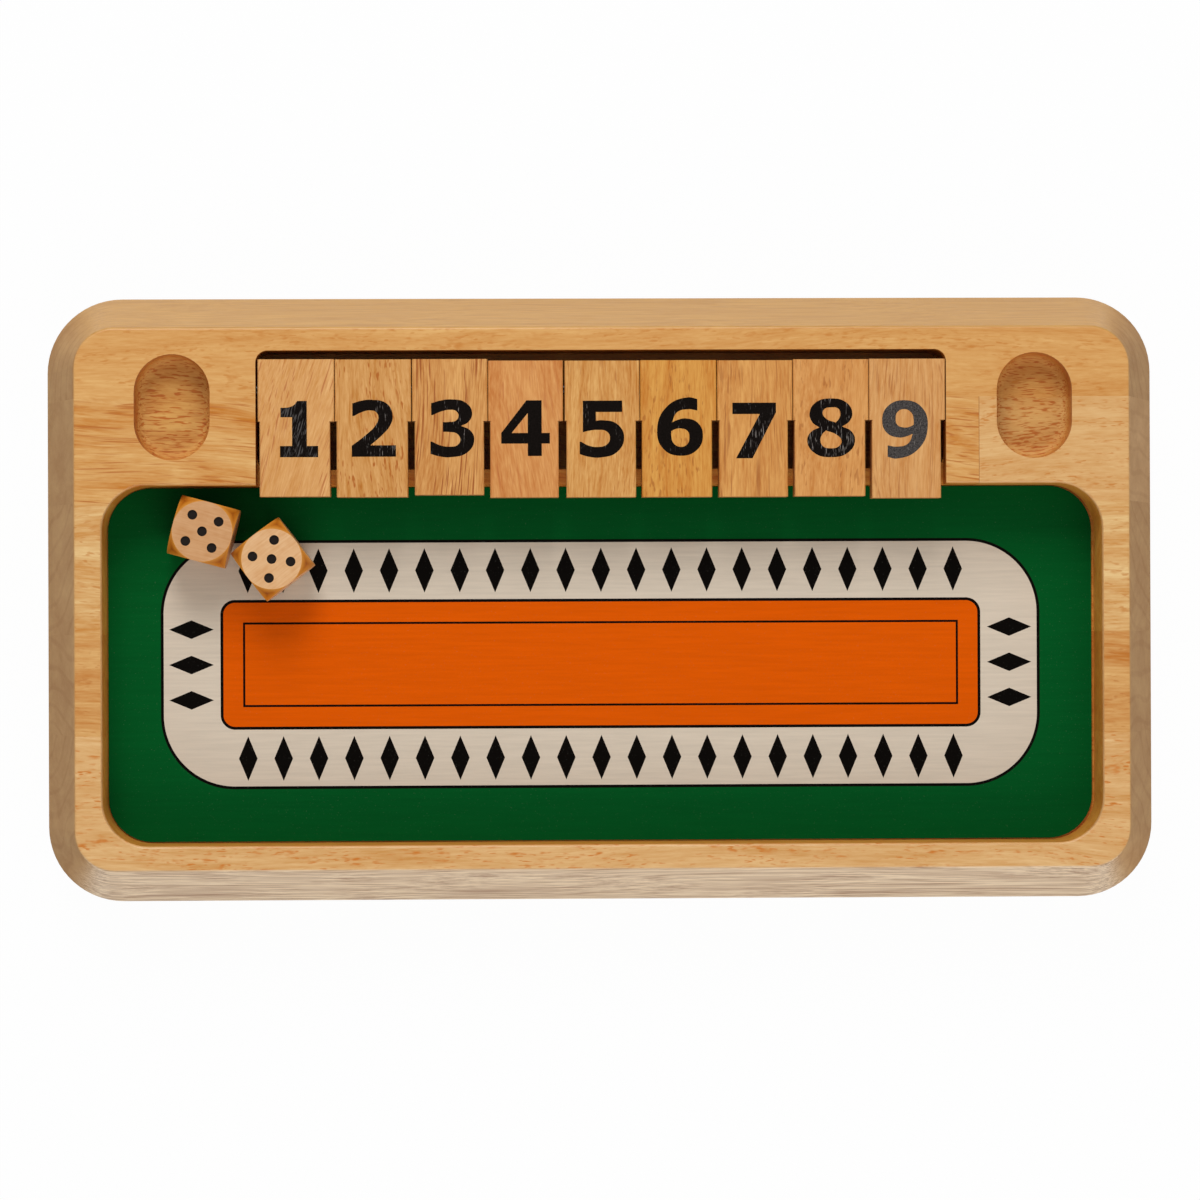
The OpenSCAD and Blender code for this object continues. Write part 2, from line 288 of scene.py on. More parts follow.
def recesses(tree, place):
    """1 on routed faces and 0 elsewhere, and the same for the dice wells alone."""
    local = add(tree, "VectorMath", {0: place["Object"], 1: TO_MM}, operation="MULTIPLY")
    off = add(tree, "VectorMath", {0: local, 1: WELLS_MIDDLE}, operation="SUBTRACT")
    off = add(tree, "VectorMath", {0: off}, operation="ABSOLUTE")
    off = add(tree, "SeparateXYZ", {0: off}, None)
    spot = add(tree, "SeparateXYZ", {0: local}, None)
    beside = add(tree, "Math", {0: spot["Y"]}, operation="ABSOLUTE")
    below = add(tree, "MapRange", {"Value": spot["Z"], "From Min": TOP, "From Max": EDGE},
                interpolation_type="SMOOTHSTEP")
    inside = where(tree, below, [("GREATER_THAN", spot["Z"], LOWEST),
                                 ("LESS_THAN", off["X"], ROUTED_REACH[0]),
                                 ("LESS_THAN", beside, ROUTED_REACH[1])])
    from_well = add(tree, "Math", {0: off["X"], 1: WELL_AWAY}, operation="SUBTRACT")
    from_well = add(tree, "Math", {0: from_well}, operation="ABSOLUTE")
    in_well = where(tree, inside, [("LESS_THAN", from_well, WELL_REACH[0]),
                                   ("LESS_THAN", off["Y"], WELL_REACH[1]),
                                   ("GREATER_THAN", spot["Z"], WELL_LOWEST)])
    return inside, in_well


def stain_and_shade_recesses(tree, place, sway, inside, in_well, colour, tray_wall_tint_and_shade, well_wall_shade, well_floor, torn):
    """Tinted lacquer and painted shade on the routed walls, the wells' walls darker than their floors."""
    # painted shade: a well's walls take a darker colour than its floor
    level = add(tree, "SeparateXYZ", {0: place["Normal"]}, "Z")
    floor_not_shaded_wall = add(tree, "MapRange", {"Value": level, "From Min": 0.3, "From Max": 0.95},
                interpolation_type="SMOOTHSTEP")
    stain_and_shade = add(tree, "Mix", {0: floor_not_shaded_wall, 6: srgb(well_wall_shade), 7: srgb(well_floor)}, 2, data_type="RGBA")
    fibres = vessels(tree, sway, 2.6, 0.36, 0.19)
    stain_and_shade = add(tree, "Mix", {0: fibres, 6: stain_and_shade, 7: srgb(torn)}, 2, data_type="RGBA")
    # painted shade, together with tinted lacquer, on the walls of the tray and the pocket
    stain_and_shade = add(tree, "Mix", {0: in_well, 6: srgb(tray_wall_tint_and_shade), 7: stain_and_shade}, 2, data_type="RGBA")
    stained_and_shaded = add(tree, "Mix", {0: 1.0, 6: colour, 7: stain_and_shade}, 2, data_type="RGBA", blend_type="MULTIPLY")
    return add(tree, "Mix", {0: inside, 6: colour, 7: stained_and_shaded}, 2, data_type="RGBA")


print("routed walls lie within", ROUTED_REACH, "mm of the middle")

# %% [markdown]
# The finish is a clear satin lacquer, so the wood has the index of refraction of lacquer, 1.5, and a
# soft shine. The ends and the wells drank the lacquer and are dull. At the butt joint the glue shows as
# a hairline, which is drawn on the one stave that needs it.

# %% Lacquered rubberwood
LACQUER_IOR = 1.5
SATIN, DULL = 0.40, 0.80                       # roughness of the sanded faces, and of ends and wells
GLUE_WIDTH, GLUE = 0.16, "#8a4a14"


def rubberwood(name, light, dark, dash, end, heart=(30.0, -40.0), ring=6.0, turn=0.0, shift=(0, 0, 0),
               waves=0.12, lines=1.0, fine=1.0, blots=0.5, dashes=0.6, vessel=SHORT_VESSEL, slope=None,
               routed=None, joint=None):
    """Lacquered wood: heart is the log's centre in mm across the grain, ring a year's growth in mm.

    The weights waves, lines, fine, blots and dashes say how strongly each pattern shows.
    """
    finish, tree, shader = new_finish(name, {"IOR": LACQUER_IOR})
    place, mm = along_grain(tree, turn, shift)
    colour, pore, fibre, rings, sway = wood_colour(tree, mm, light, dark, dash, heart, ring, waves, lines,
                                                   fine, blots, dashes, vessel)
    inside, in_well = recesses(tree, place) if routed else (0.0, 0.0)
    if slope:
        colour = tint_slope_and_sheen(tree, place, sway, colour, *slope)
    colour, ends = tint_ends(tree, place, turn, rings, sway, inside, colour, end)
    if joint:
        along = add(tree, "SeparateXYZ", {0: place["Object"]}, "X")
        glue = where(tree, 0.7, [("LESS_THAN", along, (joint + GLUE_WIDTH) * MM)])
        colour = add(tree, "Mix", {0: glue, 6: colour, 7: srgb(GLUE)}, 2, data_type="RGBA")
    if routed:
        colour = stain_and_shade_recesses(tree, place, sway, inside, in_well, colour, **routed)
    rough = add(tree, "MapRange", {"Value": in_well, "To Min": SATIN, "To Max": DULL})
    rough = add(tree, "MapRange", {"Value": ends, "To Min": rough, "To Max": DULL})
    about_zero = add(tree, "Math", {0: fibre, 1: 0.5}, operation="SUBTRACT")
    rough = add(tree, "Math", {0: about_zero, 1: 0.25, 2: rough}, operation="MULTIPLY_ADD")
    raised = add(tree, "Math", {0: fibre, 1: 0.4}, operation="MULTIPLY")
    raised = add(tree, "Math", {0: raised, 1: pore}, operation="SUBTRACT")
    bump = add(tree, "Bump", {"Height": raised, "Strength": 0.25, "Distance": RELIEF})
    wire(tree, shader, {"Base Color": colour, "Roughness": rough, "Normal": bump})
    return finish


print("lacquer's index of refraction:", LACQUER_IOR)

# %% [markdown]
# Six staves, six logs, and a slight slant of the grain in some. The rear and front staves show on the
# long slopes: the rear slope is a smooth tan, and the front slope is paler, with fine brown streaks; its
# paleness is partly painted sheen, the white surroundings mirrored at a glancing angle.

# %% The six staves
END, PALE_END = ("#c39862", "#ae7f4a"), ("#cda06c", "#b88a55")
# the tray-wall and well-wall colours are partly painted shade on the routed walls
ROUTED = dict(tray_wall_tint_and_shade="#ffe294", well_wall_shade="#e4c88c", well_floor="#f7f1d6", torn="#dca868")
REARWARD, FORWARD = (0, 1, 0), (0, -1, 0)
STAVES = {
    "rear_stave": dict(light="#e4b36e", dark="#c78236", dash="#c2741c", end=END, heart=(95, -34),
                       turn=-1.0, slope=(REARWARD, "#cb984a", "#b9843a", 0.36, 0.64), dashes=0.55,
                       blots=0.7, lines=0.5),
    "well_stave": dict(light="#e4b672", dark="#c47820", dash="#b46010", end=END, heart=(72, -22),
                       ring=1.3, turn=5.0, shift=(310, 40, 15), dashes=0.75, vessel=(18.0, 0.5, 0.165),
                       blots=0.2, waves=0.25, lines=0.7),
    "well_stave_end": dict(light="#e7be83", dark="#cc8f49", dash="#c67824", end=PALE_END, heart=(10, 70),
                           turn=-1.0, shift=(-420, 90, 40), dashes=0.8, blots=0.6, lines=0.6,
                           joint=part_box("well_stave_end")[0].x / MM),
    "upper_tray_stave": dict(light="#e8c386", dark="#c98638", dash="#c27626", end=END, heart=(60, 42),
                             turn=1.0, shift=(160, -60, 70), dashes=0.6, blots=0.6, lines=0.85),
    "lower_tray_stave": dict(light="#dfaf6c", dark="#c07526", dash="#b86a1e", end=END, heart=(-75, -25),
                             shift=(-90, 120, -30), dashes=0.5, blots=0.4, lines=0.85),
    # the front slope's pale streak colour is partly painted sheen, the mirrored white surroundings
    "front_stave": dict(light="#e6bc82", dark="#cb8e46", dash="#cb7620", end=END, heart=(-30, -30),
                        shift=(240, -160, 55), slope=(FORWARD, "#eed2ac", "#9e734b", 0.34, 0.60),
                        dashes=0.9, blots=1.0, lines=0.8),
}
for node, log in STAVES.items():
    give(node, rubberwood("rubberwood_" + node, routed=ROUTED, **log))
print("staves finished:", len(STAVES))

# %% [markdown]
# ## The number tiles
# The tiles are the same kind of wood, cut with the grain running from rear to front, so the pattern is
# turned a quarter. Nine offcuts give nine looks: one has slanting grain, one is pinkish and fine, one is
# yellower, and some have long dark lines. Each is moved to another place in the wood by its number.

# %% The nine tiles
LONG, SHORT, FINE = (15.0, 0.36, 0.165), (2.2, 0.48, 0.15), (6.0, 0.38, 0.14)
TILE_END = ("#bf8c50", "#a5713a")
TILES = [
    dict(turn=-74, light="#e5b070", dark="#c8863e", dash="#b2622a", lines=0.35, dashes=0.7, vessel=LONG),
    dict(turn=-91, light="#dfa966", dark="#ba7422", dash="#b06012", lines=0.65, dashes=0.95, vessel=SHORT),
    dict(turn=-89, light="#e3ab64", dark="#b66c22", dash="#9e5014", lines=0.5, dashes=0.95, vessel=LONG),
    dict(turn=-91, light="#e1a35e", dark="#bf6f2a", dash="#b4602c", lines=0.7, dashes=0.5, vessel=FINE),
    dict(turn=-90, light="#e4b068", dark="#be7626", dash="#ad6420", lines=0.7, dashes=0.6, vessel=FINE),
    dict(turn=-90, light="#dda14a", dark="#bf6f14", dash="#a86018", lines=0.7, dashes=0.7, vessel=SHORT),
    dict(turn=-92, light="#e1a65a", dark="#bd722a", dash="#a45e22", lines=0.65, dashes=0.7, vessel=LONG),
    dict(turn=-90, light="#e0a45e", dark="#c37a32", dash="#a66024", lines=0.7, dashes=0.6, vessel=SHORT),
    dict(turn=-92, light="#e0aa6a", dark="#c4803c", dash="#a9642c", lines=0.65, dashes=0.6, vessel=LONG),
]
for number, offcut in enumerate(TILES, 1):
    finish = rubberwood(f"rubberwood_tile_{number}", end=TILE_END, blots=0.15, ring=5.0, fine=1.9,
                        heart=(number * 13 - 70, -30), shift=(number * 57, number * 31, number * 11),
                        **offcut)
    give(f"tile_{number}", finish)
print("tiles finished:", len(TILES))

# %% [markdown]
# ## The numbers
# The numbers are printed in black with a broad, plain figure, 15 mm tall. A typed text would bring its
# own face, so each figure is drawn as a sign painter would set it out: (x, y) is a corner, where the
# outline breaks, and (x, y, 1) a round point, where it curves. A flat curve fills itself, with holes
# where outlines nest, and then becomes a thin mesh that lies on its tile and rides with it.

# %% Outlines of the figures, in millimetres from the lower left corner
SIX = [[(10.7, 14.9), (8.3, 15.35, 1), (2.6, 12.9, 1), (0, 6.9, 1), (1.6, 1.7, 1), (6.1, -0.15, 1),
        (10.6, 1.4, 1), (12.15, 5.1, 1), (10.9, 8.5, 1), (7.6, 9.75, 1), (5.7, 9.45, 1),
        (3.95, 8.75), (5.3, 11.4, 1), (8.5, 12.2, 1), (10.2, 11.95, 1), (10.7, 11.85)],
       [(3.75, 6.4), (4.9, 6.95, 1), (6.4, 7.1, 1), (8.1, 6.4, 1), (8.55, 4.7, 1), (8.0, 2.9, 1),
        (6.2, 2.2, 1), (4.4, 3.1, 1), (3.75, 5.0, 1)]]
SIX_SPAN = (12.2, 15.2)                        # a nine is a six turned half round within this
FIGURES = {
    1: [[(0, 0), (10.1, 0), (10.1, 2.95), (7.1, 2.95), (7.1, 14.9), (4.6, 14.9), (3.7, 13.8, 1),
         (2.2, 13.2, 1), (0.15, 13.1), (0.15, 10.6), (3.2, 10.6), (3.2, 2.95), (0, 2.95)]],
    2: [[(0, 0), (11.7, 0), (11.7, 3.0), (4.9, 3.0), (8.3, 6.0, 1), (10.2, 8.3, 1), (10.85, 10.9, 1),
         (9.4, 14.0, 1), (5.1, 15.1, 1), (2.6, 14.85, 1), (0.2, 14.15), (0.2, 10.8), (0.55, 10.8),
         (2.6, 11.8, 1), (4.7, 12.3, 1), (6.5, 11.8, 1), (7.1, 10.4, 1), (6.3, 8.3, 1),
         (3.9, 5.9, 1), (0, 2.9)]],
    3: [[(0.2, 14.2), (2.7, 14.9, 1), (5.4, 15.2, 1), (9.4, 14.3, 1), (11.05, 11.7, 1),
         (10.2, 9.35, 1), (8.1, 8.15), (10.6, 6.9, 1), (11.6, 4.4, 1), (9.8, 1.15, 1),
         (5.2, -0.15, 1), (2.3, 0.1, 1), (0, 0.75), (0, 4.0), (0.4, 4.0), (2.6, 3.0, 1),
         (5.0, 2.65, 1), (7.2, 3.1, 1), (7.9, 4.55, 1), (7.0, 6.1, 1), (4.9, 6.55, 1), (3.3, 6.6),
         (3.3, 9.15), (4.7, 9.2, 1), (6.8, 9.6, 1), (7.45, 10.9, 1), (6.8, 12.1, 1), (5.0, 12.45, 1),
         (2.7, 11.95, 1), (0.6, 11.05), (0.2, 11.05)]],
    4: [[(7.05, 0), (10.75, 0), (10.75, 3.3), (12.9, 3.3), (12.9, 6.1), (10.75, 6.1), (10.75, 14.75),
         (6.7, 14.75), (0, 6.1), (0, 3.3), (7.05, 3.3)],
        [(2.75, 6.1), (7.05, 11.4), (7.05, 6.1)]],
    5: [[(0.85, 14.95), (11.3, 14.95), (11.3, 11.95), (4.3, 11.95), (4.3, 9.6), (6.0, 9.75, 1),
         (10.0, 8.7, 1), (11.8, 5.2, 1), (9.9, 1.3, 1), (5.3, -0.15, 1), (2.5, 0.05, 1), (0, 0.75),
         (0, 4.05), (0.35, 4.05), (2.4, 3.0, 1), (4.7, 2.65, 1), (7.2, 3.3, 1), (8.05, 5.0, 1),
         (7.2, 6.75, 1), (4.6, 7.2, 1), (2.9, 7.05, 1), (0.85, 6.6)]],
    6: SIX,
    7: [[(0.95, 0), (5.3, 0), (11.6, 12.2), (11.6, 14.75), (0, 14.75), (0, 11.75), (7.3, 11.75)]],
    8: [[(6.35, 15.4, 1), (10.4, 14.35, 1), (12.0, 11.7, 1), (11.3, 9.4, 1), (9.3, 7.95),
         (11.8, 6.6, 1), (12.7, 4.1, 1), (10.9, 1.05, 1), (6.35, -0.2, 1), (1.8, 1.0, 1),
         (0, 4.1, 1), (0.9, 6.4, 1), (3.2, 7.7), (1.3, 9.2, 1), (0.65, 11.6, 1), (2.3, 14.35, 1)],
        [(6.3, 13.05, 1), (8.3, 12.7, 1), (8.85, 11.4, 1), (8.4, 9.9, 1), (7.6, 9.0), (5.1, 10.0, 1),
         (4.1, 11.5, 1), (4.6, 12.6, 1)],
        [(5.0, 6.9), (7.9, 5.7, 1), (9.15, 4.1, 1), (8.3, 2.6, 1), (6.4, 2.15, 1), (4.2, 2.7, 1),
         (3.5, 4.3, 1), (4.0, 5.9, 1)]],
    9: [[(SIX_SPAN[0] - knot[0], SIX_SPAN[1] - knot[1]) + knot[2:] for knot in loop] for loop in SIX],
}
print("figures drawn:", len(FIGURES))

# %% [markdown]
# Each figure sits where its tile was printed: the hand-fed printing left some a little to one side. The
# ink is a screen ink, nearly black and nearly matt, pressed into the grain. On the high fibres it has
# worn to grey in short streaks along the grain, and on the last tile it took badly and looks mottled.

# %% Printing ink
INK_IOR = 1.5                                  # of the resin in screen ink


def printing_ink(name, dark, grey, turn, worn, rubbed_to, shift):
    """Screen ink on wood: worn is the share of streaks that are rubbed, and rubbed_to their colour."""
    finish, tree, shader = new_finish(name, {"IOR": INK_IOR, "Roughness": 0.6, "Specular IOR Level": 0.04})
    _, mm = along_grain(tree, turn, shift)
    streak = grain_noise(tree, mm, (0.10, 1, 1), 3.0, 2.0, 0.7)
    patch = grain_noise(tree, mm, (0.5, 1, 1), 0.30, 1.0)
    first_streak, first_patch = 0.68 - worn * 0.2, 0.58 - worn * 0.3
    high = add(tree, "MapRange", {"Value": streak, "From Min": first_streak,
               "From Max": first_streak + 0.1}, interpolation_type="SMOOTHSTEP")
    here = add(tree, "MapRange", {"Value": patch, "From Min": first_patch,
               "From Max": first_patch + 0.1, "To Max": 0.75}, interpolation_type="SMOOTHSTEP")
    rubbed = add(tree, "Math", {0: high, 1: here}, operation="MULTIPLY")
    fleck = add(tree, "TexNoise", {"Vector": mm, "Scale": 2.6, "Detail": 2.0, "Roughness": 0.7})
    colour = add(tree, "ValToRGB", {"Fac": fleck}, stops=[(0.35, dark), (0.7, grey)])
    colour = add(tree, "Mix", {0: rubbed, 6: colour, 7: srgb(rubbed_to)}, 2, data_type="RGBA")
    bump = add(tree, "Bump", {"Height": streak, "Strength": 0.3, "Distance": RELIEF})
    wire(tree, shader, {"Base Color": colour, "Normal": bump})
    return finish


INK_LOOK = dict(dark="#0c0805", grey="#181210", rubbed_to="#8c847e")
WORN = {1: 0.8, 2: 0.45, 3: 0.45, 4: 0.1, 5: 0.35, 6: 0.3, 7: 0.45, 8: 0.6, 9: 0.3}
LOOKS = {number: dict(INK_LOOK) for number in WORN}
LOOKS[1].update(rubbed_to="#565250")
LOOKS[9].update(dark="#2b2827", grey="#5a5553")
print("most worn figure:", max(WORN, key=WORN.get))

# %% Turn an outline to a thin mesh
INK = 0.02                                     # half the ink's thickness in mm, thicker than life to show


def figure_mesh(name, loops):
    """A flat figure as a thin closed mesh, in millimetres."""
    flat = bpy.data.curves.new(name, "CURVE")
    flat.dimensions, flat.fill_mode, flat.resolution_u, flat.extrude = "2D", "BOTH", 8, INK
    for loop in loops:
        line = flat.splines.new("BEZIER")
        line.bezier_points.add(len(loop) - 1)
        line.use_cyclic_u = True
        for point, knot in zip(line.bezier_points, loop):
            point.co = (knot[0], knot[1], 0)
            point.handle_left_type = point.handle_right_type = "AUTO" if len(knot) == 3 else "VECTOR"
    drawn = bpy.data.objects.new(name + "_outline", flat)
    bpy.context.scene.collection.objects.link(drawn)
    bpy.context.view_layer.update()
    mesh = bpy.data.meshes.new_from_object(drawn.evaluated_get(bpy.context.evaluated_depsgraph_get()))
    bpy.data.objects.remove(drawn)
    bpy.data.curves.remove(flat)
    solid = bmesh.new()
    solid.from_mesh(mesh)
    bmesh.ops.remove_doubles(solid, verts=solid.verts, dist=0.0005)
    bmesh.ops.recalc_face_normals(solid, faces=solid.faces)
    solid.to_mesh(mesh)
    solid.free()
    mesh.name = name
    return mesh


print("ink thickness in mm:", 2 * INK)

# %% [markdown]
# A figure's place is that of its lower left corner, in millimetres: left counts from the middle of its
# tile, and foot from the middle of the board. A quarter of the ink's thickness lies in the wood, so no
# gap shows under it.

# %% Print the numbers
PITCH = 20.3                                   # from one tile's middle to the next
MIDDLE_TILE = 5
LEFT = (-4.40, -5.70, -5.12, -6.66, -6.12, -5.84, -6.11, -6.52, -6.91)
FOOT = (37.66, 37.73, 37.68, 37.80, 37.48, 37.90, 37.03, 37.45, 36.98)
for number, left, foot in zip(FIGURES, LEFT, FOOT):
    mesh = figure_mesh(f"figure_{number}", FIGURES[number])
    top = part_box(f"tile_{number}")[1].z / MM
    corner = ((number - MIDDLE_TILE) * PITCH + left, foot, top + INK / 2)
    mesh.transform(Matrix.Scale(MM, 4) @ Matrix.Translation(corner))
    figure = bpy.data.objects.new(f"figure_{number}", mesh)
    bpy.context.scene.collection.objects.link(figure)
    mesh.materials.clear()
    mesh.materials.append(printing_ink(f"screen_ink_{number}", turn=TILES[number - 1]["turn"],
                                       worn=WORN[number], shift=(number * 57, number * 31, 0),
                                       **LOOKS[number]))
    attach(figure, f"tile_{number}")
    print("figure", number, "has", len(mesh.polygons), "faces")

# %% [markdown]
# ## The playing panel
# The floor of the tray is a thin panel of pale veneer, screen-printed in three flat colours and black.
# Its varnish is thin and mirrors little. Here it carries a plain game-board border: bands with wide
# round corners, green, off-white with a row of black lozenges, and orange within. The shader measures
# how far a point is from the panel's edge, and colours it by that distance.

# %% Measure the panel
low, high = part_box("playing_panel")
MIDDLE = [(a + b) / 2 / MM for a, b in zip(low, high)]
HALF = [(b - a) / 2 / MM for a, b in zip(low, high)]
print("panel half size in mm:", [round(h, 2) for h in HALF])

# %% Distance from the panel's edge
BEND = 34.0                                    # radius of the bands' corners, if they ran at the edge
FAR = 1000.0                                   # takes the height out of the distance
finish, tree, shader = new_finish("screen_printed_veneer", {"IOR": INK_IOR, "Specular IOR Level": 0.03})
place = add(tree, "TexCoord", out=None)
mm = add(tree, "Mapping", {"Vector": place["Object"], "Scale": TO_MM,
         "Location": (-MIDDLE[0], -MIDDLE[1], 0)})
side = add(tree, "VectorMath", {0: mm}, operation="ABSOLUTE")
corner = add(tree, "VectorMath", {0: side, 1: (HALF[0] - BEND, HALF[1] - BEND, FAR)}, operation="SUBTRACT")
outside = add(tree, "VectorMath", {0: corner, 1: (0, 0, 0)}, operation="MAXIMUM")
reach = add(tree, "VectorMath", {0: outside}, "Value", operation="LENGTH")
over = add(tree, "SeparateXYZ", {0: corner}, None)
nearest = add(tree, "Math", {0: over["X"], 1: over["Y"]}, operation="MAXIMUM")
nearest = add(tree, "Math", {0: nearest, 1: 0.0}, operation="MINIMUM")
reach = add(tree, "Math", {0: reach, 1: nearest}, operation="ADD")
inward = add(tree, "Math", {0: BEND, 1: reach}, operation="SUBTRACT")
print("bands bend at a radius of", BEND, "mm")

# %% Bands of the print
GREEN, CREAM, ORANGE, BLACK = "#025522", "#d5c7b4", "#dc5800", "#0d0a08"
BANDS = [(0.0, GREEN), (14.0, BLACK), (14.7, CREAM), (30.0, BLACK), (30.7, ORANGE), (36.0, BLACK),
         (36.6, ORANGE)]                       # where each starts, in mm from the edge
SPAN = 50.0                                    # how many mm the colour ramp covers
share = add(tree, "Math", {0: inward, 1: SPAN}, operation="DIVIDE")
bands = add(tree, "ValToRGB", {"Fac": share}, stops=[(start / SPAN, code) for start, code in BANDS])
bands.node.color_ramp.interpolation = "CONSTANT"
print("bands in mm from the edge:", [start for start, _ in BANDS])

# %% [markdown]
# The lozenges stand across the cream band at even steps, in rows along the straight edges only. The
# distance along the edge, folded back and forth, gives the steps, and the sum of the two distances from
# a lozenge's middle gives its shape.

# %% Lozenges
STEP, LOZENGE = 9.5, (2.5, 6.0)                # from one lozenge to the next, and half its two widths
ROW = 22.3                                     # the row's distance from the edge
SHORT_ROW, LONG_ROW = 14.25, 99.75             # half the rows' lengths
axes = add(tree, "SeparateXYZ", {0: mm}, None)
long_side = add(tree, "Math", {0: over["Y"], 1: over["X"]}, operation="GREATER_THAN")
run = add(tree, "Mix", {0: long_side, 2: axes["Y"], 3: axes["X"]})
row_end = add(tree, "Mix", {0: long_side, 2: SHORT_ROW, 3: LONG_ROW})
along = add(tree, "Math", {0: run, 1: STEP / 2}, operation="PINGPONG")
along = add(tree, "Math", {0: along, 1: LOZENGE[0]}, operation="DIVIDE")
across = add(tree, "Math", {0: inward, 1: ROW}, operation="SUBTRACT")
across = add(tree, "Math", {0: across}, operation="ABSOLUTE")
across = add(tree, "Math", {0: across, 1: LOZENGE[1]}, operation="DIVIDE")
shape = add(tree, "Math", {0: along, 1: across}, operation="ADD")
from_middle = add(tree, "Math", {0: run}, operation="ABSOLUTE")
lozenge = where(tree, 1.0, [("LESS_THAN", shape, 1.0), ("LESS_THAN", from_middle, row_end)])
printed = add(tree, "Mix", {0: lozenge, 6: bands, 7: srgb(BLACK)}, 2, data_type="RGBA")
print("a lozenge every", STEP, "mm")

# %% [markdown]
# A print on veneer is never quite flat: the fibres below show in it as faint lines, and dust as pale
# specks. The cut edge of the panel is bare wood.

# %% Screen-printed veneer
grain = grain_noise(tree, mm, (0.05, 1, 1), 1.3, 3.0, 0.6)
lines = add(tree, "ValToRGB", {"Fac": grain}, stops=[(0.3, "#f3f3f3"), (0.7, "#ffffff")])
printed = add(tree, "Mix", {0: 1.0, 6: printed, 7: lines}, 2, data_type="RGBA", blend_type="MULTIPLY")
dust = add(tree, "TexNoise", {"Vector": mm, "Scale": 2.8, "Detail": 1.0})
dust = add(tree, "MapRange", {"Value": dust, "From Min": 0.70, "From Max": 0.76, "To Max": 0.05},
           interpolation_type="SMOOTHSTEP")
printed = add(tree, "Mix", {0: dust, 6: printed, 7: srgb("#d8d8c8")}, 2, data_type="RGBA")
level = add(tree, "SeparateXYZ", {0: place["Normal"]}, "Z")
face = add(tree, "Math", {0: level, 1: 0.6}, operation="GREATER_THAN")
colour = add(tree, "Mix", {0: face, 6: srgb("#c49a6a"), 7: printed}, 2, data_type="RGBA")
rough = add(tree, "MapRange", {"Value": grain, "To Min": 0.36, "To Max": 0.48})
bump = add(tree, "Bump", {"Height": grain, "Strength": 0.15, "Distance": RELIEF})
wire(tree, shader, {"Base Color": colour, "Roughness": rough, "Normal": bump})
give("playing_panel", finish)
print("panel printed")

# %% [markdown]
# ## The hinge rod
# The tiles turn on a blued steel rod, 3 mm across, which hardly shows in the slots between them. Drawing
# leaves fine lines along it, so the roughness changes round the rod but hardly along it. A metal has its
# colour in its reflections: a dark base colour, from the bluing, and metallic 1.

# %% Blued steel
finish, tree, shader = new_finish("blued_steel", {"Metallic": 1.0})
_, mm = along_grain(tree, 0, (0, 0, 0))
lines = grain_noise(tree, mm, (0.02, 1, 1), 6.0)
colour = add(tree, "ValToRGB", {"Fac": lines}, stops=[(0.3, "#2c2824"), (0.7, "#4a443e")])
rough = add(tree, "MapRange", {"Value": lines, "To Min": 0.22, "To Max": 0.42})
wire(tree, shader, {"Base Color": colour, "Roughness": rough})
give("hinge_rod", finish)
print("rod finished")

# %% [markdown]
# ## The dice
# The dice are birch cubes with their corners tumbled round. Their faces stayed pale under the lacquer,
# while the rounded corners took the stain and look toasted, darkest at the tips. The corners are parts
# of one sphere about the middle of the die, so the distance from the middle tells a corner from a face.
# The drilled pips are filled with dark paint: there a point lies just below the face, inside the cube
# and inside the sphere.

# %% A die's own axes
HALF_CUBE, BALL = 8.0, 11.32                   # half a die's width, and the sphere that rounds it
DICE = {"die_left": (-15.1, "#d3a171", "#c58d59"), "die_right": (37.1, "#e4b786", "#d6a06a")}
TOAST = [(0.0, "#94490a"), (0.5, "#bd7018"), (1.0, "#d08a30")]


def die_axes(tree, node, turn):
    """Millimetres from the die's middle, along its own edges, and the farthest of the three."""
    low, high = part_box(node)
    middle = [(a + b) / 2 for a, b in zip(low, high)]
    place = add(tree, "TexCoord", out="Object")
    mm = add(tree, "Mapping", {"Vector": place, "Location": middle,
             "Rotation": (0, 0, math.radians(turn))}, vector_type="TEXTURE")
    mm = add(tree, "VectorMath", {0: mm, 1: TO_MM}, operation="MULTIPLY")
    sides = add(tree, "VectorMath", {0: mm}, operation="ABSOLUTE")
    sides = add(tree, "SeparateXYZ", {0: sides}, None)
    farthest = add(tree, "Math", {0: sides["X"], 1: sides["Y"]}, operation="MAXIMUM")
    farthest = add(tree, "Math", {0: farthest, 1: sides["Z"]}, operation="MAXIMUM")
    return mm, farthest


print("half a die is", HALF_CUBE, "mm")

